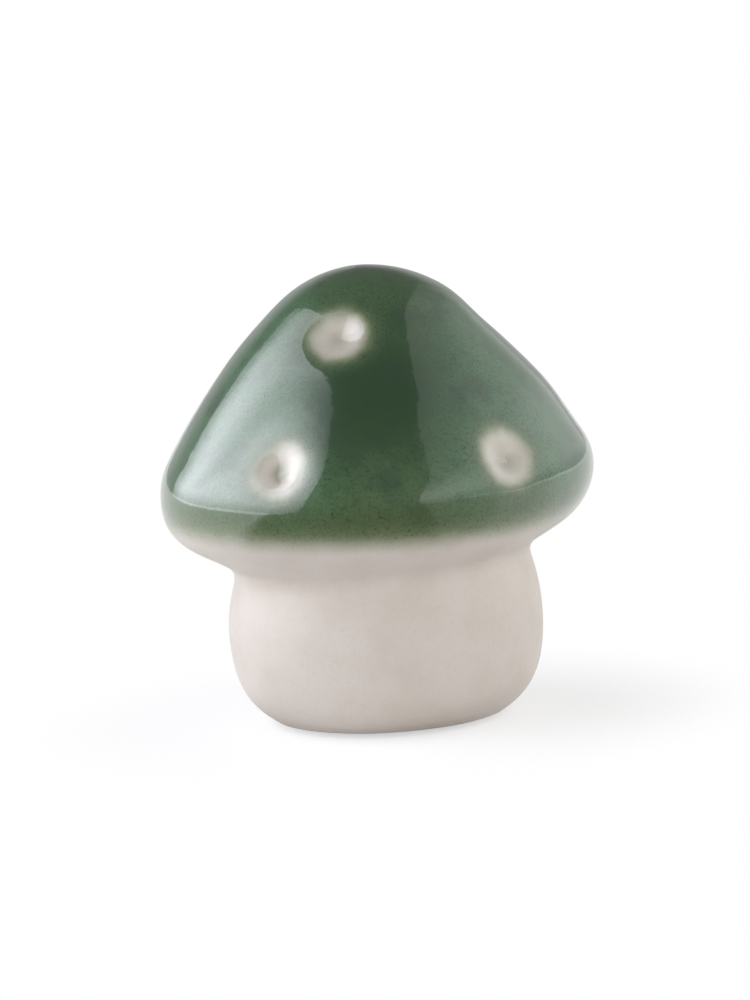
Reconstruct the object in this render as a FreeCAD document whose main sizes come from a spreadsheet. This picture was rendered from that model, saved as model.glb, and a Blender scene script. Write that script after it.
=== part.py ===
import FreeCAD
import Part
import Sketcher
import math
import os

os.makedirs("parts", exist_ok=True)
doc = FreeCAD.newDocument("MushroomOrnament")
Vector = FreeCAD.Vector
Constraint = Sketcher.Constraint

# Sizes of the ornament, lengths in millimetres and angles in degrees
SIZES = {
    "overall_height": 79.7,
    # cap, drawn as four tangent curves round its own axis
    "cap_radius": 38.05,
    "dome_radius": 23.4,
    "flank_radius": 130.0,
    "rim_radius": 10.9,
    "cap_tilt": 2.1,
    "cap_wall": 3.6,
    "pour_radius": 15.0,
    # the cap's seat on the stem, and heights above that seat
    "seat_height": 26.6,
    "seat_margin": 5.55,
    "rim_height": 15.65,
    "glaze_line_height": 9.7,
    "stem_top_height": 5.4,
    # pressed dimples and the white spots in them
    "press_ball_radius": 5.5,
    "dimple_depth": 1.4,
    "dimple_lip_radius": 8.0,
    "dot_radius": 4.1,
    # stem, a barrel on a turned foot
    "stem_radius": 27.6,
    "belly_height": 16.4,
    "stem_side_radius": 32.1,
    "foot_round_radius": 12.5,
    "foot_trim": 0.15,
    "stem_wall": 3.5,
    "foot_recess_inset": 15.1,
    "foot_recess_depth": 1.0,
    "vent_radius": 4.0,
    # slip that joins the two castings, and the glaze coat
    "slip_thickness": 0.5,
    "bead_radius": 2.4,
    "glaze": 0.5,
    "glaze_line_tilt": 1.1,
    "bare_foot_height": 0.8,
    "overrun": 6.0,
    "match_tolerance": 0.01,
}

# Place of each dimple: its share of the flank's height, and its turn from the front
DOT_PLACE_SHARES = [
    (0.081, -0.078),
    (0.013, 0.108),
    (0.056, 0.306),
    (0.071, 0.500),
    (0.034, -0.300),
    (0.897, -0.036),
    (0.846, 0.297),
    (0.869, -0.370),
]

sheet = doc.addObject("Spreadsheet::Sheet", "Sizes")
for row, (alias, value) in enumerate(SIZES.items(), start=1):
    sheet.set(f"A{row}", alias)
    sheet.set(f"B{row}", str(value))
    sheet.setAlias(f"B{row}", alias)
doc.recompute()


def size(alias):
    return float(sheet.get(alias))


def layers(*names):
    """Depth below the glazed surface: its value and the text of its expression."""
    value = sum(size(name) for name in names)
    text = " + ".join(f"Sizes.{name}" for name in names) if names else "0"
    return value, f"({text})"


def new_body(name):
    return doc.addObject("PartDesign::Body", name)


def origin_plane(body, role):
    return [plane for plane in body.Origin.OriginFeatures if plane.Role == role][0]


def new_sketch(body, name):
    sketch = body.newObject("Sketcher::SketchObject", name)
    sketch.AttachmentSupport = [(origin_plane(body, "XZ_Plane"), "")]
    sketch.MapMode = "FlatFace"
    return sketch


def bind(sketch, name, constraint, text):
    index = sketch.addConstraint(constraint)
    sketch.renameConstraint(index, name)
    sketch.setExpression(f"Constraints.{name}", text)


def refer(sketch, name, constraint):
    index = sketch.addConstraint(constraint)
    sketch.setDriving(index, False)
    sketch.renameConstraint(index, name)


def polar(centre, radius, angle):
    return Vector(centre.x + radius * math.cos(angle), centre.y + radius * math.sin(angle), 0)


def direction(start, end):
    return math.atan2(end.y - start.y, end.x - start.x)


def arc(centre, radius, start, end):
    return Part.ArcOfCircle(Part.Circle(centre, Vector(0, 0, 1), radius), start, end)


def inner_tangent_centre(first, first_radius, second, second_radius, radius):
    """Centre, on the axis side, of a circle that holds two circles and touches both."""
    near = radius - first_radius
    far = radius - second_radius
    span = first.distanceToPoint(second)
    along = (near ** 2 - far ** 2 + span ** 2) / (2 * span)
    across = math.sqrt(near ** 2 - along ** 2)
    unit = (second - first) / span
    return first + unit * along + Vector(unit.y, -unit.x, 0) * across


# Cap profile

def cap_centres():
    dome = Vector(0, size("overall_height") - size("dome_radius"), 0)
    level = size("seat_height") + size("rim_height")
    rim = Vector(size("cap_radius") - size("rim_radius"), level, 0)
    flank = inner_tangent_centre(
        dome, size("dome_radius"), rim, size("rim_radius"), size("flank_radius"))
    return dome, flank, rim


def underside_slope():
    """Slope of the line from the edge of the seat that touches the curve of the rim."""
    rim = cap_centres()[2]
    edge = Vector(size("stem_radius") - size("seat_margin"), size("seat_height"), 0)
    return direction(edge, rim) - math.asin(size("rim_radius") / edge.distanceToPoint(rim))


def cap_curves(depth):
    dome, flank, rim = cap_centres()
    slope = underside_slope()
    shoulder = direction(flank, dome)
    waist = direction(flank, rim)
    edge = polar(rim, size("rim_radius") - depth, slope - math.pi / 2)
    seat = size("seat_height") + depth
    corner = Vector(edge.x - (edge.y - seat) / math.tan(slope), seat, 0)
    top = polar(dome, size("dome_radius") - depth, math.pi / 2)
    return [
        arc(dome, size("dome_radius") - depth, shoulder, math.pi / 2),
        arc(flank, size("flank_radius") - depth, waist, shoulder),
        arc(rim, size("rim_radius") - depth, slope - math.pi / 2, waist),
        Part.LineSegment(edge, corner),
        Part.LineSegment(corner, Vector(0, seat, 0)),
        Part.LineSegment(Vector(0, seat, 0), top),
    ]


def cap_profile(body, name, inset):
    depth, text = inset
    sketch = new_sketch(body, name)
    curves = cap_curves(depth)
    sketch.addGeometry(curves, False)
    sketch.addConstraint([
        Constraint("Tangent", 0, 1, 1, 2),
        Constraint("Tangent", 1, 1, 2, 2),
        Constraint("Tangent", 2, 1, 3, 1),
        Constraint("Coincident", 3, 2, 4, 1),
        Constraint("Coincident", 4, 2, 5, 1),
        Constraint("Coincident", 5, 2, 0, 2),
        Constraint("PointOnObject", 0, 3, -2),
        Constraint("PointOnObject", 0, 2, -2),
        Constraint("PointOnObject", 4, 2, -2),
        Constraint("Horizontal", 4),
    ])
    dome, flank, rim = cap_centres()
    top = curves[5].EndPoint.y
    seat = curves[4].EndPoint.y
    bind(sketch, "top", Constraint("DistanceY", -1, 1, 0, 2, top), f"Sizes.overall_height - {text}")
    bind(sketch, "dome", Constraint("Radius", 0, curves[0].Radius), f"Sizes.dome_radius - {text}")
    bind(sketch, "flank", Constraint("Radius", 1, curves[1].Radius), f"Sizes.flank_radius - {text}")
    bind(sketch, "rim", Constraint("Radius", 2, curves[2].Radius), f"Sizes.rim_radius - {text}")
    bind(sketch, "reach", Constraint("DistanceX", -1, 1, 2, 3, rim.x),
         "Sizes.cap_radius - Sizes.rim_radius")
    bind(sketch, "level", Constraint("DistanceY", -1, 1, 2, 3, rim.y),
         "Sizes.seat_height + Sizes.rim_height")
    bind(sketch, "seat", Constraint("DistanceY", -1, 1, 4, 1, seat), f"Sizes.seat_height + {text}")
    return sketch


def glazed_cap_profile(body):
    """The outside of the cap, whose underside runs from the rim to the edge of the seat."""
    sketch = cap_profile(body, "GlazedCapProfile", layers())
    edge = size("stem_radius") - size("seat_margin")
    bind(sketch, "seatReach", Constraint("DistanceX", -1, 1, 4, 1, edge),
         "Sizes.stem_radius - Sizes.seat_margin")
    refer(sketch, "slope", Constraint("Angle", -1, 1, 3, 2, underside_slope()))
    dome, flank, rim = cap_centres()
    for joint, end, centre in (("waist", 1, rim), ("shoulder", 2, dome)):
        point = polar(flank, size("flank_radius"), direction(flank, centre))
        refer(sketch, f"{joint}Reach", Constraint("DistanceX", -1, 1, 1, end, point.x))
        refer(sketch, f"{joint}Level", Constraint("DistanceY", -1, 1, 1, end, point.y))
    return sketch


def inner_cap_profile(body, name, inset):
    """The cap at a depth below its glazed surface."""
    sketch = cap_profile(body, name, inset)
    bind(sketch, "slope", Constraint("Angle", -1, 1, 3, 2, underside_slope()),
         "GlazedCapProfile.Constraints.slope")
    return sketch


def turn_profile(body, sketch, name):
    turned = body.newObject("PartDesign::Revolution", name)
    turned.Profile = sketch
    turned.ReferenceAxis = (sketch, ["V_Axis"])
    turned.Angle = 360
    doc.recompute()
    return turned


def tilt_with_cap(body):
    """Lean the cap about the centre of its rim, right side up."""
    body.Placement = FreeCAD.Placement(Vector(0, 0, 0), FreeCAD.Rotation(Vector(0, -1, 0), 1))
    level = "(Sizes.seat_height + Sizes.rim_height)"
    body.setExpression("Placement.Rotation.Angle", "Sizes.cap_tilt")
    body.setExpression("Placement.Base.x", f"{level} * sin(Sizes.cap_tilt)")
    body.setExpression("Placement.Base.z", f"{level} * (1 - cos(Sizes.cap_tilt))")


# Dimples pressed round the cap

def flank_curve(body):
    """A sketch with the flank of the cap as its construction line."""
    sketch = new_sketch(body, "DimplePlaces")
    flank = cap_curves(0)[1]
    sketch.addGeometry(flank, True)
    source = "GlazedCapProfile.Constraints"
    bind(sketch, "flank", Constraint("Radius", 0, flank.Radius), f"{source}.flank")
    for joint, end, point in (("waist", 1, flank.StartPoint), ("shoulder", 2, flank.EndPoint)):
        bind(sketch, f"{joint}Reach", Constraint("DistanceX", -1, 1, 0, end, point.x),
             f"{source}.{joint}Reach")
        bind(sketch, f"{joint}Level", Constraint("DistanceY", -1, 1, 0, end, point.y),
             f"{source}.{joint}Level")
    return sketch, flank


def dimple_places(body):
    """Lines from the flank's centre through each dimple to the middle of its pressing ball."""
    sketch, flank = flank_curve(body)
    standoff = size("press_ball_radius") - size("dimple_depth")
    waist = flank.StartPoint.y
    shoulder = flank.EndPoint.y
    for index, (share, turn) in enumerate(DOT_PLACE_SHARES, start=1):
        height = waist + share * (shoulder - waist)
        lean = math.asin((height - flank.Center.y) / flank.Radius)
        surface = polar(flank.Center, flank.Radius, lean)
        ball = polar(flank.Center, flank.Radius + standoff, lean)
        line = sketch.addGeometry(Part.LineSegment(flank.Center, ball), True)
        point = sketch.addGeometry(Part.Point(surface), True)
        sketch.addConstraint(Constraint("Coincident", line, 1, 0, 3))
        sketch.addConstraint(Constraint("PointOnObject", point, 1, line))
        sketch.addConstraint(Constraint("PointOnObject", point, 1, 0))
        bind(sketch, f"level{index}", Constraint("DistanceY", -1, 1, point, 1, height),
             "GlazedCapProfile.Constraints.waistLevel"
             f" + {share} * (GlazedCapProfile.Constraints.shoulderLevel"
             " - GlazedCapProfile.Constraints.waistLevel)")
        bind(sketch, f"standoff{index}", Constraint("Distance", point, 1, line, 2, standoff),
             "Sizes.press_ball_radius - Sizes.dimple_depth")
        refer(sketch, f"dotReach{index}", Constraint("DistanceX", -1, 1, point, 1, surface.x))
        refer(sketch, f"ballReach{index}", Constraint("DistanceX", -1, 1, line, 2, ball.x))
        refer(sketch, f"ballLevel{index}", Constraint("DistanceY", -1, 1, line, 2, ball.y))


def turn_angle(turn):
    return 360 * turn - 90


def press_dimples(body, radius_text):
    for index, (share, turn) in enumerate(DOT_PLACE_SHARES, start=1):
        ball = body.newObject("PartDesign::SubtractiveSphere", f"{body.Name}Press{index}")
        ball.AttachmentSupport = [(origin_plane(body, "XY_Plane"), "")]
        ball.MapMode = "FlatFace"
        angle = turn_angle(turn)
        ball.AttachmentOffset = FreeCAD.Placement(
            Vector(0, 0, 0), FreeCAD.Rotation(Vector(0, 0, 1), angle))
        reach = f"DimplePlaces.Constraints.ballReach{index}"
        level = f"DimplePlaces.Constraints.ballLevel{index}"
        ball.setExpression("Radius", radius_text)
        ball.setExpression("AttachmentOffset.Base.x", f"{reach} * cos({angle})")
        ball.setExpression("AttachmentOffset.Base.y", f"{reach} * sin({angle})")
        ball.setExpression("AttachmentOffset.Base.z", level)
        doc.recompute()
    return ball


def is_pressed(face, radius):
    return isinstance(face.Surface, Part.Sphere) and math.isclose(face.Surface.Radius, radius)


def soften_lips(body, pressed, inset):
    """Round the lips: they keep one centre through the glaze and the clay under it."""
    depth, text = inset
    radius = size("press_ball_radius") + depth
    rims = [edge for face in pressed.Shape.Faces if is_pressed(face, radius)
            for edge in face.Edges]
    edges = []
    for number, edge in enumerate(pressed.Shape.Edges, start=1):
        if any(edge.isSame(rim) for rim in rims):
            edges.append(f"Edge{number}")
    lips = body.newObject("PartDesign::Fillet", f"{body.Name}Lips")
    lips.Base = (pressed, edges)
    lips.setExpression("Radius", f"Sizes.dimple_lip_radius - {text}")
    doc.recompute()


def glazed_cap():
    """The outside of the cap, where the glaze runs smooth over the lips of the dimples."""
    body = new_body("GlazedCap")
    sketch = glazed_cap_profile(body)
    dimple_places(body)
    turn_profile(body, sketch, "GlazedCapTurn")
    pressed = press_dimples(body, "Sizes.press_ball_radius")
    soften_lips(body, pressed, layers())
    tilt_with_cap(body)
    return body


def clay_cap():
    """The cap under its glaze, with the same dimples a glaze's thickness deeper."""
    body = new_body("ClayCap")
    sketch = inner_cap_profile(body, "ClayCapProfile", layers("glaze"))
    turn_profile(body, sketch, "ClayCapTurn")
    pressed = press_dimples(body, "Sizes.press_ball_radius + Sizes.glaze")
    soften_lips(body, pressed, layers("glaze"))
    tilt_with_cap(body)
    return body


def cap_hollow():
    """The inside of the cap casting with its pour hole."""
    body = new_body("CapHollow")
    sketch = inner_cap_profile(body, "CapHollowProfile", layers("glaze", "cap_wall"))
    turn_profile(body, sketch, "CapHollowTurn")
    pour = body.newObject("PartDesign::AdditiveCylinder", "PourHole")
    pour.AttachmentSupport = [(origin_plane(body, "XY_Plane"), "")]
    pour.MapMode = "FlatFace"
    pour.setExpression("Radius", "Sizes.pour_radius")
    pour.setExpression("Height", "Sizes.cap_wall + 2 * Sizes.overrun")
    pour.setExpression("AttachmentOffset.Base.z", "Sizes.seat_height - Sizes.overrun")
    doc.recompute()
    tilt_with_cap(body)
    return body


def cap_bed():
    """The cap's underside lowered by the slip that it is stuck down with."""
    body = new_body("CapBed")
    depth = size("glaze") - size("slip_thickness")
    inset = (depth, "(Sizes.glaze - Sizes.slip_thickness)")
    sketch = inner_cap_profile(body, "CapBedProfile", inset)
    turn_profile(body, sketch, "CapBedTurn")
    tilt_with_cap(body)
    return body


# Stem profile

def stem_curves(depth, base, top):
    side = Vector(size("stem_radius") - size("stem_side_radius"), size("belly_height"), 0)
    side_radius = size("stem_side_radius") - depth
    foot_radius = size("foot_round_radius") - depth
    level = size("foot_round_radius") - size("glaze") - size("foot_trim")
    gap = size("stem_side_radius") - size("foot_round_radius")
    foot = Vector(side.x + math.sqrt(gap ** 2 - (side.y - level) ** 2), level, 0)
    joint = direction(side, foot)
    low = math.asin((base - level) / foot_radius)
    high = math.asin((top - side.y) / side_radius)
    start = polar(foot, foot_radius, low)
    end = polar(side, side_radius, high)
    return [
        arc(side, side_radius, joint, high),
        arc(foot, foot_radius, low, joint),
        Part.LineSegment(start, Vector(0, base, 0)),
        Part.LineSegment(Vector(0, base, 0), Vector(0, top, 0)),
        Part.LineSegment(Vector(0, top, 0), end),
    ]


def stem_profile(body, name, inset, base=None, top=("seat_height", "stem_top_height")):
    """Half section of the barrel: its belly point is the widest of the side curve."""
    depth, text = inset
    floor, floor_text = base or layers()
    crown, crown_text = layers(*top)
    sketch = new_sketch(body, name)
    curves = stem_curves(depth, floor, crown)
    sketch.addGeometry(curves, False)
    belly = Vector(size("stem_radius") - depth, size("belly_height"), 0)
    widest = sketch.addGeometry(Part.Point(belly), True)
    sketch.addConstraint([
        Constraint("Tangent", 0, 1, 1, 2),
        Constraint("Coincident", 1, 1, 2, 1),
        Constraint("Coincident", 2, 2, 3, 1),
        Constraint("Coincident", 3, 2, 4, 1),
        Constraint("Coincident", 4, 2, 0, 2),
        Constraint("Horizontal", 2),
        Constraint("Horizontal", 4),
        Constraint("PointOnObject", 3, 1, -2),
        Constraint("PointOnObject", 3, 2, -2),
        Constraint("PointOnObject", widest, 1, 0),
        Constraint("Horizontal", widest, 1, 0, 3),
    ])
    bind(sketch, "side", Constraint("Radius", 0, curves[0].Radius),
         f"Sizes.stem_side_radius - {text}")
    bind(sketch, "foot", Constraint("Radius", 1, curves[1].Radius),
         f"Sizes.foot_round_radius - {text}")
    bind(sketch, "belly", Constraint("DistanceX", -1, 1, widest, 1, belly.x),
         f"Sizes.stem_radius - {text}")
    bind(sketch, "bellyLevel", Constraint("DistanceY", -1, 1, widest, 1, belly.y),
         "Sizes.belly_height")
    bind(sketch, "footLevel", Constraint("DistanceY", -1, 1, 1, 3, curves[1].Center.y),
         "Sizes.foot_round_radius - Sizes.glaze - Sizes.foot_trim")
    bind(sketch, "crown", Constraint("DistanceY", -1, 1, 3, 2, crown), crown_text)
    if base:
        bind(sketch, "floor", Constraint("DistanceY", -1, 1, 3, 1, floor), floor_text)
    else:
        sketch.addConstraint(Constraint("PointOnObject", 3, 1, -1))
    return sketch


def stem_outside(name, inset):
    """The stem as a solid, at a depth below the glazed surface."""
    body = new_body(name)
    sketch = stem_profile(body, f"{name}Profile", inset)
    turn_profile(body, sketch, f"{name}Turn")
    return body


def add_bore(body, name, radius_text, height_text):
    bore = body.newObject("PartDesign::AdditiveCylinder", name)
    bore.AttachmentSupport = [(origin_plane(body, "XY_Plane"), "")]
    bore.MapMode = "FlatFace"
    bore.setExpression("Radius", radius_text)
    bore.setExpression("Height", height_text)
    bore.setExpression("AttachmentOffset.Base.z", "-Sizes.overrun")
    doc.recompute()


def stem_hollow():
    """The inside of the stem casting, its vent hole and the recess within the foot ring."""
    body = new_body("StemHollow")
    sketch = stem_profile(
        body, "StemHollowProfile", layers("glaze", "stem_wall"),
        layers("foot_recess_depth", "stem_wall"),
        ("seat_height", "stem_top_height", "overrun"))
    turn_profile(body, sketch, "StemHollowTurn")
    add_bore(body, "Vent", "Sizes.vent_radius",
             "2 * Sizes.overrun + Sizes.foot_recess_depth + Sizes.stem_wall")
    add_bore(body, "FootRecess", "Sizes.stem_radius - Sizes.foot_recess_inset",
             "Sizes.overrun + Sizes.foot_recess_depth")
    return body


# Cap and stem together

def combine(kind, name, base, tool):
    result = doc.addObject(kind, name)
    result.Base = base
    result.Tool = tool
    doc.recompute()
    return result


def cut(name, base, tool):
    return combine("Part::Cut", name, base, tool)


def common(name, base, tool):
    return combine("Part::Common", name, base, tool)


def lies_on(point, solid):
    return Part.Vertex(point).distToShape(solid.Shape.Shells[0])[0] < size("match_tolerance")


def joined(name, cap, stem, radius):
    """Cap and stem as one solid, with the fold between them rounded."""
    both = combine("Part::Fuse", f"{name}Sharp", cap, stem)
    fold = []
    for number, edge in enumerate(both.Shape.Edges, start=1):
        middle = edge.valueAt((edge.FirstParameter + edge.LastParameter) / 2)
        if lies_on(middle, cap) and lies_on(middle, stem):
            fold.append((number, radius, radius))
    rounded = doc.addObject("Part::Fillet", name)
    rounded.Base = both
    rounded.Edges = fold
    doc.recompute()
    return rounded


# Tools that divide the glaze coat

def glaze_line_block():
    """A block whose underside is the line where the green coat meets the cream one."""
    block = doc.addObject("Part::Box", "AboveGlazeLine")
    half = "(Sizes.cap_radius + Sizes.overrun)"
    block.Placement = FreeCAD.Placement(Vector(0, 0, 0), FreeCAD.Rotation(Vector(0, 1, 0), 1))
    block.setExpression("Length", f"2 * {half}")
    block.setExpression("Width", f"2 * {half}")
    block.setExpression("Height", "Sizes.overall_height")
    block.setExpression("Placement.Rotation.Angle", "Sizes.glaze_line_tilt")
    block.setExpression("Placement.Base.x", f"-{half} * cos(Sizes.glaze_line_tilt)")
    block.setExpression("Placement.Base.y", f"-{half}")
    block.setExpression(
        "Placement.Base.z",
        "Sizes.seat_height + Sizes.glaze_line_height"
        f" + {half} * sin(Sizes.glaze_line_tilt)")
    doc.recompute()
    return block


def bare_foot_block():
    """The strip next to the table that is wiped clean of glaze."""
    block = doc.addObject("Part::Box", "BareFoot")
    half = "(Sizes.stem_radius + Sizes.overrun)"
    block.setExpression("Length", f"2 * {half}")
    block.setExpression("Width", f"2 * {half}")
    block.setExpression("Height", "Sizes.overrun + Sizes.bare_foot_height")
    block.setExpression("Placement.Base.x", f"-{half}")
    block.setExpression("Placement.Base.y", f"-{half}")
    block.setExpression("Placement.Base.z", "-Sizes.overrun")
    doc.recompute()
    return block


def dot_ball(index, turn):
    """A ball about the middle of one dimple, as wide as its white spot."""
    ball = doc.addObject("Part::Sphere", f"DotBall{index}")
    ball.setExpression("Radius", "Sizes.dot_radius")
    angle = turn_angle(turn)
    reach = f"DimplePlaces.Constraints.dotReach{index}"
    level = "GlazedCapProfile.Constraints.level"
    rise = f"(DimplePlaces.Constraints.level{index} - {level})"
    ball.setExpression(
        "Placement.Base.x",
        f"{reach} * cos({angle}) * cos(Sizes.cap_tilt) - {rise} * sin(Sizes.cap_tilt)")
    ball.setExpression("Placement.Base.y", f"{reach} * sin({angle})")
    ball.setExpression(
        "Placement.Base.z",
        f"{level} + {reach} * cos({angle}) * sin(Sizes.cap_tilt) + {rise} * cos(Sizes.cap_tilt)")
    doc.recompute()
    return ball


def dot_balls():
    return [dot_ball(index, turn) for index, (share, turn) in enumerate(DOT_PLACE_SHARES, start=1)]


def grouped(name, members):
    group = doc.addObject("Part::Compound", name)
    group.Links = members
    doc.recompute()
    return group


# Pieces of the ornament

def castings(cap, stem):
    bed = cap_bed()
    stem_walls = cut("StemWalls", stem, stem_hollow())
    return {
        "cap_casting": cut("CapCasting", cap, cap_hollow()),
        "stem_casting": cut("StemCasting", stem_walls, bed),
    }


def luting_slip(whole, cap, stem_casting):
    """The ring of slip between the castings, with the bead that it leaves in the fold."""
    below_cap = cut("BelowCap", whole, cap)
    ring = cut("SlipAndStem", below_cap, doc.getObject("StemHollow"))
    return cut("LutingSlip", ring, stem_casting)


def glaze_coats(coat):
    above = glaze_line_block()
    balls = dot_balls()
    upper = common("UpperCoat", coat, above)
    lower = cut("LowerCoat", coat, above)
    pieces = {
        "green_glaze": cut("GreenGlaze", upper, grouped("DotBalls", balls)),
        "cream_glaze": cut("CreamGlaze", lower, bare_foot_block()),
    }
    for index, ball in enumerate(balls, start=1):
        pieces[f"white_dot_{index}"] = common(f"WhiteDot{index}", upper, ball)
    return pieces


def ornament():
    outer_cap = glazed_cap()
    outer_stem = stem_outside("GlazedStem", layers())
    glazed = joined("Glazed", outer_cap, outer_stem, size("bead_radius") - size("glaze"))
    cap = clay_cap()
    stem = stem_outside("ClayStem", layers("glaze"))
    clay = joined("Clay", cap, stem, size("bead_radius"))
    pieces = castings(cap, stem)
    pieces["luting_slip"] = luting_slip(clay, cap, pieces["stem_casting"])
    pieces.update(glaze_coats(cut("Coat", glazed, clay)))
    return pieces


# Checks and files

def check_document():
    for item in doc.Objects:
        if "Invalid" in item.State or "Error" in item.State:
            raise RuntimeError(f"{item.Name} did not compute: {item.State}")


def write_pieces(pieces):
    check_document()
    for label, piece in pieces.items():
        piece.Label = label
        if piece.Shape.isNull() or not piece.Shape.isValid():
            raise RuntimeError(f"{label} has no valid shape")
        if len(piece.Shape.Solids) != 1:
            raise RuntimeError(f"{label} is {len(piece.Shape.Solids)} solids")
    for label, piece in pieces.items():
        piece.Shape.exportStep(f"parts/{label}.step")
        print(label, round(piece.Shape.Volume), "mm3")


write_pieces(ornament())
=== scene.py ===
import math

import bmesh
import bpy
from mathutils import Matrix, Vector, noise


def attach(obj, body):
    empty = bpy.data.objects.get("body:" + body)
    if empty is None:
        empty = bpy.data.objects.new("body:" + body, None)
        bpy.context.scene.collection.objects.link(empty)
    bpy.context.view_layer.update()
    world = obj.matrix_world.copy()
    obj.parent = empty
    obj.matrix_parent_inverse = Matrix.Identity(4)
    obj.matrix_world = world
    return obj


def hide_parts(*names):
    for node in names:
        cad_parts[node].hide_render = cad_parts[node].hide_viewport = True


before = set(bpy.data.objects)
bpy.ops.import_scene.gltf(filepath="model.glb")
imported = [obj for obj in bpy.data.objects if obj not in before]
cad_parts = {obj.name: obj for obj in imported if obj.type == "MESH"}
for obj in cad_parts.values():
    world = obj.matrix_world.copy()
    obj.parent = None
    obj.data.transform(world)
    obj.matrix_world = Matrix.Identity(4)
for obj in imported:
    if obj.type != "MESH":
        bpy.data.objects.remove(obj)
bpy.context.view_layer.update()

mm = 0.001

scene = bpy.context.scene
scene.view_settings.view_transform = "Standard"


# A wire is one output socket, and arithmetic on wires adds Math nodes
class Wire:
    def __init__(self, tree, socket=None):
        self.tree = tree
        self.socket = socket

    def make(self, kind, settings=None, inputs=None, output=0):
        node = self.tree.nodes.new(kind)
        for name, value in (settings or {}).items():
            setattr(node, name, value)
        for name, value in (inputs or {}).items():
            self.feed(node.inputs[name], value)
        return Wire(self.tree, node.outputs[output] if node.outputs else None)

    def feed(self, socket, value):
        if isinstance(value, Wire):
            self.tree.links.new(value.socket, socket)
        else:
            socket.default_value = value

    def combine(self, operation, *values):
        return self.make("ShaderNodeMath", {"operation": operation}, dict(enumerate(values)))

    def __add__(self, other):
        return self.combine("ADD", self, other)

    def __sub__(self, other):
        return self.combine("SUBTRACT", self, other)

    def __rsub__(self, other):
        return self.combine("SUBTRACT", other, self)

    def __mul__(self, other):
        return self.combine("MULTIPLY", self, other)

    def __abs__(self):
        return self.combine("ABSOLUTE", self)

    __radd__ = __add__
    __rmul__ = __mul__

    def axis(self, name):  # X across, Y to the back, Z up
        return self.make("ShaderNodeSeparateXYZ", None, {"Vector": self}, output=name)

    def fade(self, low, high):  # 0 below low, 1 above high, smooth between
        return self.make("ShaderNodeMapRange", {"interpolation_type": "SMOOTHSTEP"},
                         {"Value": self, "From Min": low, "From Max": high})

    def blend(self, first, second):  # the wire is the share of the second colour
        return self.make("ShaderNodeMix", {"data_type": "RGBA"},
                         {0: self, 6: first, 7: second}, output=2)

    def choose(self, first, second):  # the same for two shaders
        return self.make("ShaderNodeMixShader", None, {0: self, 1: first, 2: second})

    def grain(self, size, detail, roughness=0.5):  # soft noise about 0.5, size in metres
        return self.make("ShaderNodeTexNoise", None, {
            "Vector": self, "Scale": 1 / size, "Detail": detail, "Roughness": roughness})


def newPaint(name):
    material = bpy.data.materials.new(name)
    material.use_nodes = True
    tree = material.node_tree
    tree.nodes.clear()
    wire = Wire(tree)
    place = wire.make("ShaderNodeTexCoord", output="Object")
    return material, wire, place


def finish(material, wire, shader):
    wire.make("ShaderNodeOutputMaterial", None, {"Surface": shader})
    return material


def colour(red, green, blue):
    return (red, green, blue, 1.0)


# Outline of the glazed surface in millimetres, first the cap and then the stem
cap = {
    "height": 79.7,
    "radius": 38.05,
    "domeRadius": 23.4,
    "flankRadius": 130.0,
    "rimRadius": 10.9,
    "rimHeight": 42.25,
    "seatHeight": 26.6,
    "seatRadius": 22.05,
    "lean": 2.1,                 # degrees, right side up
    "liftBand": (12.0, 26.0),    # heights over which the lean sets in, upwards
    "shiftBand": (27.5, 33.0),   # and sideways
    "glazeLine": 36.3,           # where green turns to cream, at the middle
    "glazeLineLean": 1.1,
}

stem = {
    "radius": 27.6,
    "bellyHeight": 16.4,
    "sideRadius": 32.1,
    "footRadius": 12.5,
    "footLevel": 11.85,
    "foldRadius": 1.7,           # the bead of slip under the cap
    "bareHeight": 0.8,
}

coat = {
    "spacing": 0.55,             # between rings
    "fewestSteps": 3,            # in an arc
    "segments": 256,
    "overlap": 20,               # degrees past the peak, so that smoothing leaves no point there
    "fairing": 14,               # rounds of smoothing along the outline
    "fairingPull": 0.5,
    "peakReach": 0.3,            # corners this near the axis and this far below the top
    "peakDepth": 1.0,            # become one
    "thickness": 0.45,
    "mergeWithin": 0.001,        # corners this near each other or the glaze line are one
    "cutWithin": 0.0001,         # and this near the axis they lie on it
}


def flat(x, z):
    return Vector((x, 0.0, z))


def onCircle(centre, radius, angle):
    return centre + flat(math.cos(angle), math.sin(angle)) * radius


def angleTo(start, end):
    return math.atan2(end.z - start.z, end.x - start.x)


domeCentre = flat(0, cap["height"] - cap["domeRadius"])
rimCentre = flat(cap["radius"] - cap["rimRadius"], cap["rimHeight"])
sideCentre = flat(stem["radius"] - stem["sideRadius"], stem["bellyHeight"])
glazeLean = math.radians(cap["glazeLineLean"])


def flankMiddle():  # the flank's curve holds the dome's and the rim's and touches both
    near = cap["flankRadius"] - cap["domeRadius"]
    far = cap["flankRadius"] - cap["rimRadius"]
    step = rimCentre - domeCentre
    along = (near ** 2 - far ** 2 + step.length ** 2) / (2 * step.length)
    across = math.sqrt(near ** 2 - along ** 2)
    unit = step.normalized()
    return domeCentre + unit * along + flat(unit.z, -unit.x) * across


flankCentre = flankMiddle()
shoulder = angleTo(flankCentre, domeCentre)
waist = angleTo(flankCentre, rimCentre)
seatEdge = flat(cap["seatRadius"], cap["seatHeight"])
undersideSlope = (angleTo(seatEdge, rimCentre)
                  - math.asin(cap["rimRadius"] / (rimCentre - seatEdge).length))
inwards = flat(-math.cos(undersideSlope), -math.sin(undersideSlope))  # along the underside


def footMiddle():
    reach = stem["sideRadius"] - stem["footRadius"]
    drop = sideCentre.z - stem["footLevel"]
    return flat(sideCentre.x + math.sqrt(reach ** 2 - drop ** 2), stem["footLevel"])


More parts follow.
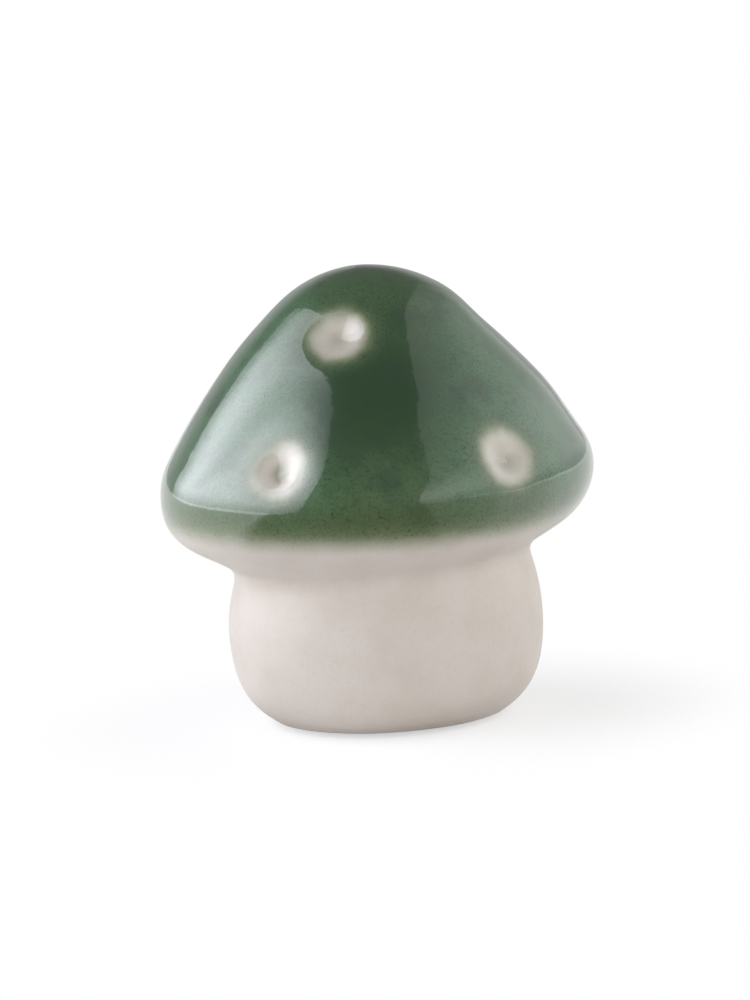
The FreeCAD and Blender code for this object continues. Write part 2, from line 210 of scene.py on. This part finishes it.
def foldMiddle(edge):  # a small circle under the cap's underside and beside the stem
    away = flat(math.sin(undersideSlope), -math.cos(undersideSlope))
    start = edge + away * stem["foldRadius"] - sideCentre
    reach = stem["sideRadius"] + stem["foldRadius"]
    half = start.dot(inwards)
    run = -half - math.sqrt(half ** 2 - start.length_squared + reach ** 2)
    return sideCentre + start + inwards * run, run


def spinPoint(bm, point, centre, turn):
    length = abs(turn) * (point.co - centre).length
    steps = max(coat["fewestSteps"], round(length / coat["spacing"]))
    spun = bmesh.ops.spin(bm, geom=[point], cent=centre, axis=(0, 1, 0), angle=turn, steps=steps)
    return [item for item in spun["geom_last"] if isinstance(item, bmesh.types.BMVert)][0]


def drawStraight(bm, point, step):
    count = max(1, round(step.length / coat["spacing"]))
    for number in range(count):
        grown = bmesh.ops.extrude_vert_indiv(bm, verts=[point])["verts"][0]
        bmesh.ops.translate(bm, verts=[grown], vec=step / count)
        point = grown
    return point


def drawOutline(bm):
    start = math.pi / 2 + math.radians(coat["overlap"])
    point = bm.verts.new(onCircle(domeCentre, cap["domeRadius"], start))
    point = spinPoint(bm, point, domeCentre, start - shoulder)
    point = spinPoint(bm, point, flankCentre, shoulder - waist)
    point = spinPoint(bm, point, rimCentre, waist + math.pi / 2 - undersideSlope)
    foldCentre, run = foldMiddle(point.co.copy())
    point = drawStraight(bm, point, inwards * run)
    sideTop = angleTo(sideCentre, foldCentre)
    point = spinPoint(bm, point, foldCentre, undersideSlope - math.pi / 2 - sideTop)
    footCentre = footMiddle()
    joint = angleTo(sideCentre, footCentre)
    point = spinPoint(bm, point, sideCentre, sideTop - joint)
    bottom = math.asin((stem["bareHeight"] - footCentre.z) / stem["footRadius"])
    spinPoint(bm, point, footCentre, joint - bottom)


def fairOutline(bm):
    inner = [vert for vert in bm.verts if len(vert.link_edges) == 2]
    for turn in range(coat["fairing"]):
        bmesh.ops.smooth_vert(bm, verts=inner, factor=coat["fairingPull"],
                              use_axis_x=True, use_axis_y=True, use_axis_z=True)
    bmesh.ops.bisect_plane(bm, geom=bm.verts[:] + bm.edges[:], dist=coat["cutWithin"],
                           plane_co=(0, 0, 0), plane_no=(1, 0, 0), clear_inner=True)


def turnOutline(bm):
    bmesh.ops.spin(bm, geom=bm.verts[:] + bm.edges[:], cent=(0, 0, 0), axis=(0, 0, 1),
                   angle=2 * math.pi, steps=coat["segments"], use_merge=True)
    peak = [vert for vert in bm.verts if vert.co.z > cap["height"] - coat["peakDepth"]
            and vert.co.xy.length < coat["peakReach"]]
    bmesh.ops.pointmerge(bm, verts=peak, merge_co=(0, 0, max(vert.co.z for vert in peak)))
    bmesh.ops.remove_doubles(bm, verts=bm.verts[:], dist=coat["mergeWithin"])
    bmesh.ops.recalc_face_normals(bm, faces=bm.faces[:])
    top = max(bm.faces, key=lambda face: face.calc_center_median().z)
    if top.normal.z < 0:
        bmesh.ops.reverse_faces(bm, faces=bm.faces[:])


# Dimples pressed with a ball, and the lumps that hands leave, in millimetres
dimple = {
    "spotRadius": 4.05,
    "spotSlack": 0.01,           # a spot's faces end this near its edge
    "noteReach": 14.0,           # this far from a dimple its distance is noted
    "farAway": 30.0,             # and this is noted beyond
    "pressReach": 16.0,
    "places": [                  # share of the flank's height, turn from the front, depth, spread
        (0.081, -0.078, 1.80, 2.4),
        (0.013, 0.108, 1.75, 2.2),
        (0.056, 0.306, 1.45, 2.4),
        (0.071, 0.500, 1.40, 2.3),
        (0.034, -0.300, 1.55, 2.6),
        (0.897, -0.036, 1.75, 2.7),
        (0.846, 0.297, 1.40, 2.3),
        (0.869, -0.370, 1.50, 2.5),
    ],
}

hands = {
    "ripple": 0.05,              # soft unevenness of the surface, and its width
    "rippleWidth": 9.0,
    "lumps": [                   # turn and height of its middle, width in degrees, tallness, rise
        (180, 37.0, 50, 4.0, 0.45),
        (180, 74.0, 60, 5.0, -0.35),
        (0, 73.0, 50, 3.5, 0.35),
        (0, 57.0, 50, 5.0, 0.30),
        (0, 48.5, 50, 4.0, -0.35),
        (-104, 48.0, 7.5, 5.0, 0.50),
    ],
}


def dimpleSeat(share, turn, depth, spread):
    low = onCircle(flankCentre, cap["flankRadius"], waist).z
    high = onCircle(flankCentre, cap["flankRadius"], shoulder).z
    lean = math.asin((low + share * (high - low) - flankCentre.z) / cap["flankRadius"])
    spin = Matrix.Rotation(2 * math.pi * turn - math.pi / 2, 3, "Z")
    away = spin @ flat(math.cos(lean), math.sin(lean))
    middle = spin @ onCircle(flankCentre, cap["flankRadius"], lean)
    return middle, away, depth, spread


seats = [dimpleSeat(*place) for place in dimple["places"]]


def spotDistance(point):  # distance from the middle line of the nearest dimple, and its number
    best = (dimple["farAway"], 0)
    for number, (middle, away, depth, spread) in enumerate(seats, start=1):
        step = point - middle
        if step.length < dimple["noteReach"]:
            best = min(best, ((step - away * step.dot(away)).length, number))
    return best


def pressed(point):
    for middle, away, depth, spread in seats:
        step = point - middle
        if step.length < dimple["pressReach"]:
            aside = (step - away * step.dot(away)).length / spread
            point = point - away * (depth * math.exp(-aside * aside / 2))
    return point


def smoothShare(value, low, high):
    share = min(1.0, max(0.0, (value - low) / (high - low)))
    return share * share * (3 - 2 * share)


def handled(point, normal):
    rise = hands["ripple"] * noise.noise(point / hands["rippleWidth"])
    turn = math.degrees(math.atan2(point.y, point.x))
    for angle, height, width, tall, amount in hands["lumps"]:
        aside = abs((turn - angle + 180) % 360 - 180) / width
        above = (point.z - height) / tall
        rise += amount * math.exp(-aside * aside - above * above)
    return point + normal * rise


def leaned(point):  # the cap leans about the middle of its rim, and the stem's top gives way
    angle = math.radians(cap["lean"])
    rise = point.z - cap["rimHeight"]
    lift = smoothShare(point.z, *cap["liftBand"])
    shift = smoothShare(point.z, *cap["shiftBand"])
    return Vector((
        point.x + shift * (point.x * (math.cos(angle) - 1) - rise * math.sin(angle)),
        point.y,
        point.z + lift * (point.x * math.sin(angle) + rise * (math.cos(angle) - 1))))


def shapeSurface(bm):
    distance = bm.verts.layers.float.new("spotDistance")
    number = bm.verts.layers.int.new("spotNumber")
    bm.normal_update()
    for vert, normal in [(vert, vert.normal.copy()) for vert in bm.verts]:
        vert[distance], vert[number] = spotDistance(vert.co)
        vert.co = leaned(pressed(handled(vert.co, normal)))
    bm.normal_update()
    smooth = bm.verts.layers.float_vector.new("smoothNormal")
    for vert in bm.verts:
        vert[smooth] = vert.normal


def cutSpots(bm):  # an edge loop round each white spot
    distance = bm.verts.layers.float["spotDistance"]
    radius = dimple["spotRadius"]
    loops = []
    for edge in bm.edges[:]:
        near, far = sorted(edge.verts, key=lambda vert: vert[distance])
        if near[distance] < radius < far[distance]:
            share = (radius - near[distance]) / (far[distance] - near[distance])
            loops.append(bmesh.utils.edge_split(edge, near, share)[1])
    bmesh.ops.connect_verts(bm, verts=loops)


def cutGlazeLine(bm):
    bmesh.ops.bisect_plane(bm, geom=bm.verts[:] + bm.edges[:] + bm.faces[:],
                           dist=coat["mergeWithin"], plane_co=(0, 0, cap["glazeLine"]),
                           plane_no=(math.sin(glazeLean), 0, math.cos(glazeLean)))


def buildSurface():
    bm = bmesh.new()
    drawOutline(bm)
    fairOutline(bm)
    turnOutline(bm)
    shapeSurface(bm)
    cutSpots(bm)
    cutGlazeLine(bm)
    return bm


creamNumber, greenNumber = 0, -1  # spots are numbered from 1


def pieceOf(face, distance, number):
    if max(vert[distance] for vert in face.verts) < dimple["spotRadius"] + dimple["spotSlack"]:
        return min(face.verts, key=lambda vert: vert[distance])[number]
    middle = face.calc_center_median()
    above = middle.x * math.sin(glazeLean) + (middle.z - cap["glazeLine"]) * math.cos(glazeLean)
    return greenNumber if above > 0 else creamNumber


outside, inside = 1, 2  # sides of a coat, and 0 is the wall between them


def giveThickness(bm):
    smooth = bm.verts.layers.float_vector["smoothNormal"]
    side = bm.faces.layers.int.new("side")
    for face in bm.faces:
        face[side] = outside
        face.smooth = True
    grown = bmesh.ops.extrude_face_region(bm, geom=bm.faces[:], use_keep_orig=True)
    for item in grown["geom"]:
        if isinstance(item, bmesh.types.BMFace):
            item[side] = inside
        elif isinstance(item, bmesh.types.BMVert):
            item.co -= item[smooth].normalized() * coat["thickness"]
    for face in bm.faces:
        if face[side] == 0:
            face.smooth = False
    bmesh.ops.recalc_face_normals(bm, faces=bm.faces[:])
    if bm.calc_volume(signed=True) < 0:
        bmesh.ops.reverse_faces(bm, faces=bm.faces[:])


def shadeSmoothly(mesh):  # the outside keeps the normals of the whole surface, so no seam shows
    smooth = mesh.attributes["smoothNormal"].data
    side = mesh.attributes["side"].data
    normals = [(0.0, 0.0, 0.0)] * len(mesh.loops)
    for face in mesh.polygons:
        if side[face.index].value == outside:
            for corner in face.loop_indices:
                normals[corner] = smooth[mesh.loops[corner].vertex_index].vector.normalized()
    mesh.normals_split_custom_set(normals)
    for name in ("smoothNormal", "side", "spotNumber"):
        mesh.attributes.remove(mesh.attributes[name])


def coatPiece(source, name, wanted, nodes, paint):
    bm = source.copy()
    distance = bm.verts.layers.float["spotDistance"]
    number = bm.verts.layers.int["spotNumber"]
    others = [face for face in bm.faces if pieceOf(face, distance, number) != wanted]
    bmesh.ops.delete(bm, geom=others, context="FACES")
    giveThickness(bm)
    bmesh.ops.scale(bm, vec=(mm, mm, mm), verts=bm.verts[:])
    mesh = bpy.data.meshes.new(name)
    bm.to_mesh(mesh)
    bm.free()
    shadeSmoothly(mesh)
    piece = bpy.data.objects.new(name, mesh)
    scene.collection.objects.link(piece)
    mesh.materials.append(paint)
    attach(piece, "root")
    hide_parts(*nodes)
    print("made", name, len(mesh.polygons), "faces")


# Glazes: one paint for green, cream and spots, so that they run into each other
glaze = {
    "deepGreen": colour(0.019, 0.062, 0.020),
    "midGreen": colour(0.078, 0.150, 0.062),
    # the lit green is painted light, laid on both sides of the cap
    "litGreen": colour(0.085, 0.205, 0.098),
    "thinGreen": colour(0.28, 0.32, 0.18),
    "rimGreen": colour(0.105, 0.140, 0.050),
    "poolAndPitShadeGreen": colour(0.24, 0.25, 0.15),
    # this colour is green pooled in the dimples and painted shade in their pits
    "olive": colour(0.105, 0.155, 0.075),
    "cream": colour(0.76, 0.695, 0.63),
    "creamShade": colour(0.69, 0.62, 0.54),
    "spotWhite": colour(0.72, 0.69, 0.61),
    "spotShade": colour(0.68, 0.63, 0.54),
    "slate": colour(0.030, 0.060, 0.040),
    "speck": colour(0.052, 0.052, 0.024),
    "index": 1.45,
    "coatIndex": 2.0,
    "coatRoughness": 0.05,
    "greenRoughness": 0.25,
    "creamRoughness": 0.38,
    "unevenRoughness": 0.05,
    "bumpStrength": 0.10,
    "bumpHeight": 0.0003,        # metres
    "grains": {                  # size, detail and roughness of each noise
        "wander": (6.0 * mm, 3.0, 0.5),
        "cloud": (12.0 * mm, 3.0, 0.5),
        "mottle": (1.6 * mm, 4.0, 0.6),
        "swell": (2.6 * mm, 2.0, 0.5),
    },
    "marks": {                   # the same, then where the mark fades in, and its share
        "mottles": (3.5 * mm, 4.0, 0.6, 0.48, 0.72, 0.40),
        "slateClouds": (9.0 * mm, 3.0, 0.5, 0.50, 0.68, 0.45),
        "creamClouds": (8.0 * mm, 3.0, 0.5, 0.35, 0.70, 0.60),
        "blots": (0.9 * mm, 3.0, 0.6, 0.57, 0.72, 0.70),
        "blotFields": (6.0 * mm, 1.0, 0.5, 0.35, 0.60, 1.0),
        "speckFields": (1.5 * mm, 1.0, 0.5, 0.56, 0.70, 0.55),
        "dust": (0.45 * mm, 3.0, 0.5, 0.40, 0.75, 0.45),
    },
    "fades": {                   # from and to
        "green": (-2.4, 2.2),    # millimetres above the glaze line
        "thin": (-1.0, 4.6),
        "rim": (3.0, 10.0),
        "ring": (4.9, 9.4),      # millimetres from the middle of a spot
        "halo": (4.4, 7.2),
        "core": (3.1, 6.1),
        "poolAndPitShade": (0.6, 2.7),
        "pitShadeLeft": (6.0, 16.0),     # millimetres to the left
        "paintedSideLight": (5.0, 18.0),       # millimetres away from the middle
        "low": (49.0, 63.0),         # millimetres up
        "high": (68.0, 84.0),
        "spotShade": (0.40, 0.62),   # values of a noise
        "creamMottle": (0.5, 0.8),
        "specks": (0.10, 0.34),      # distance from the middle of a cell
    },
    "shares": {                  # of the colour named, where its fade is full
        "high": 0.8,
        "paintedSideLight": 0.85,
        "rim": 0.65,
        "ring": 0.80,
        "halo": 0.75,
        "thin": 0.75,
        "poolAndPitShade": 0.30,
        "pitShadeLeft": 0.45,
        "creamMottle": 0.35,
        "bareSkin": 0.07,        # of the speckles, where there is no green
    },
    "middle": 1.0,               # millimetres to the right
    "lowSway": 9,                # how far clouds move the bands on the cap, in millimetres
    "highSway": 12,
    "spotSway": 2.4,             # and how far noises move the edge of a spot
    "spotMottle": 0.35,
    "cellSize": 1.3 * mm,
}


def mixGlaze():
    material, wire, place = newPaint("potteryGlaze")
    fades, shares = glaze["fades"], glaze["shares"]
    grains = {name: place.grain(*grain) for name, grain in glaze["grains"].items()}
    marks = {name: place.grain(*mark[:3]).fade(*mark[3:5]) * mark[5]
             for name, mark in glaze["marks"].items()}
    across = place.axis("X") * (1 / mm)
    height = place.axis("Z") * (1 / mm)
    wander = grains["wander"] - 0.5
    cloud = grains["cloud"]
    mottle = grains["mottle"]

    level = height + across * math.tan(glazeLean) - cap["glazeLine"] + wander
    green = level.fade(*fades["green"])  # how much green lies over the cream
    thin = 1 - level.fade(*fades["thin"])
    spot = wire.make("ShaderNodeAttribute", {"attribute_name": "spotDistance"}, output=2)
    spot = spot + wander * glaze["spotSway"] + (mottle - 0.5) * glaze["spotMottle"]
    ring, halo, core = [1 - spot.fade(*fades[name]) for name in ("ring", "halo", "core")]

    low = (height + cloud * glaze["lowSway"]).fade(*fades["low"])
    high = (height + cloud * glaze["highSway"]).fade(*fades["high"]) * shares["high"]
    # painted light: the green turns lighter towards the left and right sides of the cap, away
    # from the middle
    paintedSideLight = abs(across - glaze["middle"]).fade(*fades["paintedSideLight"])
    body = (low * (1 - high)).blend(glaze["midGreen"], glaze["deepGreen"])
    body = (paintedSideLight * shares["paintedSideLight"]).blend(body, glaze["litGreen"])
    body = marks["mottles"].blend(body, glaze["deepGreen"])
    body = marks["slateClouds"].blend(body, glaze["slate"])
    body = ((1 - level.fade(*fades["rim"])) * shares["rim"]).blend(body, glaze["rimGreen"])
    body = (ring * shares["ring"]).blend(body, glaze["olive"])  # green thins towards a spot
    body = (halo * shares["halo"]).blend(body, glaze["thinGreen"])

    spotTone = cloud.fade(*fades["spotShade"]).blend(glaze["spotWhite"], glaze["spotShade"])
    # painted shade: the pits of the dimples darken more towards the left of the cap, over a
    # little green pooled in every dimple
    left = (across * -1).fade(*fades["pitShadeLeft"])
    poolAndPitShade = (1 - spot.fade(*fades["poolAndPitShade"])) * (left * shares["pitShadeLeft"] + shares["poolAndPitShade"])
    spotTone = poolAndPitShade.blend(spotTone, glaze["poolAndPitShadeGreen"])  # green pooled in the dimple bottoms, and painted shade in their pits
    body = core.blend(body, spotTone)
    body = (thin * shares["thin"]).blend(body, glaze["thinGreen"])

    cream = marks["creamClouds"].blend(glaze["cream"], glaze["creamShade"])
    creamMottle = mottle.fade(*fades["creamMottle"]) * shares["creamMottle"]
    cream = creamMottle.blend(cream, glaze["creamShade"])
    base = green.blend(cream, body)

    # speckles, where the glaze is thick enough for them
    skin = green * (1 - halo) * (1 - thin * shares["thin"]) + shares["bareSkin"]
    base = (marks["blots"] * marks["blotFields"] * skin).blend(base, glaze["speck"])
    cells = wire.make("ShaderNodeTexVoronoi", None,
                      {"Vector": place, "Scale": 1 / glaze["cellSize"], "Randomness": 1.0})
    specks = (1 - cells.fade(*fades["specks"])) * marks["speckFields"]
    base = (specks * skin).blend(base, glaze["speck"])
    base = (marks["dust"] * skin).blend(base, glaze["deepGreen"])

    roughness = (green * (glaze["greenRoughness"] - glaze["creamRoughness"])
                 + glaze["creamRoughness"] + (mottle - 0.5) * glaze["unevenRoughness"])
    bump = wire.make("ShaderNodeBump", None, {
        "Strength": glaze["bumpStrength"], "Distance": glaze["bumpHeight"],
        "Height": grains["swell"]})
    shader = wire.make("ShaderNodeBsdfPrincipled", None, {
        "Base Color": base, "Roughness": roughness, "Normal": bump, "IOR": glaze["index"],
        "Coat Weight": green, "Coat IOR": glaze["coatIndex"], "Coat Normal": bump,
        "Coat Roughness": glaze["coatRoughness"]})
    return finish(material, wire, shader)


# Bare clay and slip: tone, shade and the castings that have them
clay = {
    "bareClay": (colour(0.72, 0.68, 0.61), colour(0.62, 0.57, 0.49),
                 ("cap_casting", "stem_casting")),
    "firedSlip": (colour(0.74, 0.70, 0.63), colour(0.66, 0.61, 0.53), ("luting_slip",)),
}

clayGrain = {
    "grog": (0.5 * mm, 4.0, 0.65),
    "grogFade": (0.6, 0.8),
    "cloud": (6.0 * mm, 3.0, 0.5),
    "cloudFade": (0.35, 0.7),
    "share": 0.5,
    "roughness": 0.7,
    "unevenRoughness": 0.2,
    "bumpStrength": 0.5,
    "bumpHeight": 0.0001,        # metres
    "index": 1.45,
}


def mixClay(name, tone, shade):
    material, wire, place = newPaint(name)
    grog = place.grain(*clayGrain["grog"])
    cloud = place.grain(*clayGrain["cloud"]).fade(*clayGrain["cloudFade"])
    base = (cloud * clayGrain["share"]).blend(tone, shade)
    base = (grog.fade(*clayGrain["grogFade"]) * clayGrain["share"]).blend(base, shade)
    roughness = grog * clayGrain["unevenRoughness"] + clayGrain["roughness"]
    bump = wire.make("ShaderNodeBump", None, {
        "Strength": clayGrain["bumpStrength"], "Distance": clayGrain["bumpHeight"],
        "Height": grog})
    shader = wire.make("ShaderNodeBsdfPrincipled", None, {
        "Base Color": base, "Roughness": roughness, "Normal": bump, "IOR": clayGrain["index"]})
    return finish(material, wire, shader)


# The room, in metres
white = colour(1, 1, 1)

room = {
    "floor": colour(0.90, 0.90, 0.90),
    "floorSeen": colour(0.54, 0.55, 0.56),
    "floorGlow": 0.56,           # seen by the camera only
    "floorHalf": 6.0,            # from its middle to its edge
    "floorMottle": 0.4,
    "mottleShare": 0.02,
    "floorWhite": (0.030, 0.069),  # distance at which the floor goes over to plain white
    "floorFront": 0.08,          # as the glaze mirrors the floor, in front and all round
    "floorRound": 0.85,
    "rightPull": 2.5,            # how fast that brightens to the right and to the left
    "leftPull": -0.6,
    "pullFade": (0.0, 0.03),
    "turnFade": (-1.3, 0.4),     # metres to the back for each metre to the side
    "turnShare": 0.8,
    "leftFade": (0.0, 0.02),
    "dark": 0.12,                # the room around, and the pale wall low behind the object
    "wall": 0.45,
    "wallFade": (0.72, 0.96),
    "wallTop": (0.05, 0.40),
    "wallSlope": 0.8,
}

# Panels: azimuth and distance, edges as seen from the object, radiance. The fades run from 0 to 1
# across a panel or up it, and give from, to and how much is taken off.
lamps = {
    "leftPanel": {
        "azimuth": -72, "distance": 0.55,
        "left": -1.25, "right": 0.28, "bottom": 0.01, "top": 1.20,
        "radiance": 2.75, "tone": (1.0, 1.01, 1.10), "even": 0.30, "gap": (1.37, 0.37),
        "far": (0.05, 0.42, 0.66), "near": (0.70, 1.15, 0.95), "upper": (0.25, 0.90, 0.6),
    },
    "rightPanel": {
        "azimuth": 85, "distance": 0.60,
        "left": -1.27, "right": 2.0, "bottom": 0.01, "top": 1.48,
        "radiance": 1.05, "even": 0.22, "step": (0.185, 0.95),
        "far": (-0.5, 0.9, 0.5), "near": (0.48, 0.80, 0.62), "upper": (0.0, 0.62, 0.72),
    },
    "frontPanel": {
        "azimuth": -8, "distance": 0.80,
        "left": -0.95, "right": 0.95, "bottom": 0.01, "top": 0.70,
        "radiance": 0.80, "shine": False,
    },
    "rightFill": {
        "azimuth": 90, "distance": 0.80,
        "left": -0.55, "right": 0.55, "bottom": 0.01, "top": 0.75,
        "radiance": 0.95, "shine": False,
    },
}

diffuser = {
    "foot": 0.16,                # height over which a panel brightens from its bottom edge
    "footShare": 0.5,            # how bright that edge is
    "bandWidth": 0.19,
    "bandAcross": (0.30, 0.70),
    "bandShare": 0.36,
    "stepBlur": 0.004,
}


def heading(azimuth):  # 0 is towards the camera, 90 to the right
    angle = math.radians(azimuth)
    return Vector((math.sin(angle), -math.cos(angle), 0.0))


def tintLamp(light, lamp):  # softer towards its edges, as a lit diffuser is
    light.use_nodes = True
    tree = light.node_tree
    tree.nodes.clear()
    wire = Wire(tree)
    place = wire.make("ShaderNodeNewGeometry", output="Parametric")
    across = place.axis("X")
    above = place.axis("Y")
    farFrom, farTo, farShare = lamp["far"]
    nearFrom, nearTo, nearShare = lamp["near"]
    upperFrom, upperTo, upperShare = lamp["upper"]
    raised = above.combine("MAXIMUM", above, lamp["even"])  # even near the floor
    share = 1 - raised.fade(upperFrom, upperTo) * upperShare
    share = share * (above.fade(0.0, diffuser["foot"]) * (1 - diffuser["footShare"])
                     + diffuser["footShare"])
    share = share * (1 - across.fade(nearFrom, nearTo) * nearShare)
    share = share * (1 - (1 - across.fade(farFrom, farTo)) * farShare)
    if "gap" in lamp:  # a soft dim band that climbs across the panel
        climb, start = lamp["gap"]
        band = 1 - abs(above - across * climb + start).fade(0.0, diffuser["bandWidth"])
        band = band * across.fade(*diffuser["bandAcross"])
        share = share * (1 - band * diffuser["bandShare"])
    if "step" in lamp:  # the edge stands back further up, to this width at this height
        width, height = lamp["step"]
        edge = across - above.fade(0.0, height) * width
        share = share * edge.fade(0.0, diffuser["stepBlur"])
    glow = share.blend(colour(0, 0, 0), white)
    wire.make("ShaderNodeOutputLight", None, {
        "Surface": wire.make("ShaderNodeEmission", None, {"Color": glow})})


def hangLamp(name, lamp):
    out = heading(lamp["azimuth"])
    along = heading(lamp["azimuth"] + 90)
    up = Vector((0, 0, 1))
    width = lamp["right"] - lamp["left"]
    height = lamp["top"] - lamp["bottom"]
    light = bpy.data.lights.new(name, "AREA")
    light.shape = "RECTANGLE"
    light.size = width
    light.size_y = height
    light.energy = lamp["radiance"] * math.pi * width * height
    light.color = lamp.get("tone", (1.0, 1.0, 1.0))
    if "far" in lamp:
        tintLamp(light, lamp)
    holder = bpy.data.objects.new(name, light)
    holder.location = (out * lamp["distance"] + along * (lamp["left"] + width / 2)
                       + up * (lamp["bottom"] + height / 2))
    holder.rotation_euler = Matrix((along, up, out)).transposed().to_euler()
    holder.visible_camera = False
    holder.visible_glossy = lamp.get("shine", True)
    scene.collection.objects.link(holder)


def mixFloor():
    material, wire, place = newPaint("studioFloor")
    across = place.axis("X")
    behind = place.axis("Y")
    glow, blank, front, around = [
        wire.make("ShaderNodeEmission", None, {"Strength": strength})
        for strength in (room["floorGlow"], 1.0, room["floorFront"], room["floorRound"])]

    # what the camera sees: a pale floor that keeps the shadow and goes over to white
    tone = place.grain(room["floorMottle"], 2.0) * room["mottleShare"]
    seen = wire.make("ShaderNodeBsdfDiffuse", None,
                     {"Color": tone.blend(room["floorSeen"], white)})
    lit = wire.make("ShaderNodeAddShader", None, {0: seen, 1: glow})
    reach = wire.make("ShaderNodeVectorMath", {"operation": "LENGTH"}, {0: place}, output=1)
    lit = reach.fade(*room["floorWhite"]).choose(lit, blank)

    # what the glaze mirrors: dark in front, bright to the sides and behind
    aside = across.combine("MAXIMUM", across * room["rightPull"], across * room["leftPull"])
    turn = across.combine("DIVIDE", behind, abs(across)).fade(*room["turnFade"])
    rising = across.combine("MAXIMUM", turn * room["turnShare"] + (1 - room["turnShare"]),
                            (across * -1).fade(*room["leftFade"]))
    shine = ((aside + behind).fade(*room["pullFade"]) * rising).choose(front, around)

    plain = wire.make("ShaderNodeBsdfDiffuse", None, {"Color": room["floor"]})
    other = wire.make("ShaderNodeLightPath", output="Is Glossy Ray").choose(plain, shine)
    both = wire.make("ShaderNodeLightPath", output="Is Camera Ray").choose(other, lit)
    return finish(material, wire, both)


def layFloor():
    bm = bmesh.new()
    bmesh.ops.create_grid(bm, x_segments=1, y_segments=1, size=room["floorHalf"])
    mesh = bpy.data.meshes.new("studioFloor")
    bm.to_mesh(mesh)
    bm.free()
    floor = bpy.data.objects.new("studioFloor", mesh)
    scene.collection.objects.link(floor)
    mesh.materials.append(mixFloor())


def lightWorld():
    world = bpy.data.worlds.new("studio")
    world.use_nodes = True
    tree = world.node_tree
    tree.nodes.clear()
    wire = Wire(tree)
    aim = wire.make("ShaderNodeTexCoord", output="Generated")
    above = aim.axis("Z") - abs(aim.axis("X")) * room["wallSlope"]
    share = aim.axis("Y").fade(*room["wallFade"]) * (1 - above.fade(*room["wallTop"]))
    dark, wall, blank = [
        wire.make("ShaderNodeBackground", None, {"Color": white, "Strength": strength})
        for strength in (room["dark"], room["wall"], 1.0)]
    seen = wire.make("ShaderNodeLightPath", output="Is Camera Ray")
    wire.make("ShaderNodeOutputWorld", None,
              {"Surface": seen.choose(share.choose(dark, wall), blank)})
    scene.world = world


view = {
    "sensor": 36.0,              # millimetres
    "focalPixels": 5720,         # focal length and width of the frame, in pixels
    "framePixels": 750,
    "distance": 1.0,
    "elevation": 9,              # degrees
    "roll": -3.5,
    "pivotHeight": 0.040,
    "aim": (-0.00061, 0, 0.03825),
    "nearest": 0.05,
    "furthest": 20.0,
}


def setCamera():
    lens = bpy.data.cameras.new("camera")
    lens.sensor_fit = "HORIZONTAL"
    lens.sensor_width = view["sensor"]
    lens.lens = view["sensor"] * view["focalPixels"] / view["framePixels"]
    lens.clip_start = view["nearest"]
    lens.clip_end = view["furthest"]
    camera = bpy.data.objects.new("camera", lens)
    elevation = math.radians(view["elevation"])
    stand = Vector((0, -math.cos(elevation) * view["distance"],
                    view["pivotHeight"] + math.sin(elevation) * view["distance"]))
    look = (Vector(view["aim"]) - stand).to_track_quat("-Z", "Y").to_matrix()
    roll = Matrix.Rotation(math.radians(view["roll"]), 3, "Z")
    camera.rotation_euler = (look @ roll).to_euler()
    camera.location = stand
    scene.collection.objects.link(camera)
    scene.camera = camera


surface = buildSurface()
print("surface", len(surface.faces), "faces")
paint = mixGlaze()
print("glaze mixed")
coatPiece(surface, "greenCoat", greenNumber, ["green_glaze"], paint)
coatPiece(surface, "creamCoat", creamNumber, ["cream_glaze"], paint)
for number in range(1, len(seats) + 1):
    coatPiece(surface, f"whiteSpot{number}", number, [f"white_dot_{number}"], paint)
surface.free()

for name, (tone, shade, castings) in clay.items():
    material = mixClay(name, tone, shade)
    for casting in castings:
        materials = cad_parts[casting].data.materials
        materials.clear()
        materials.append(material)
print("clay and slip painted")

layFloor()
lightWorld()
for name, lamp in lamps.items():
    hangLamp(name, lamp)
print("room lit")
setCamera()
print("camera set")
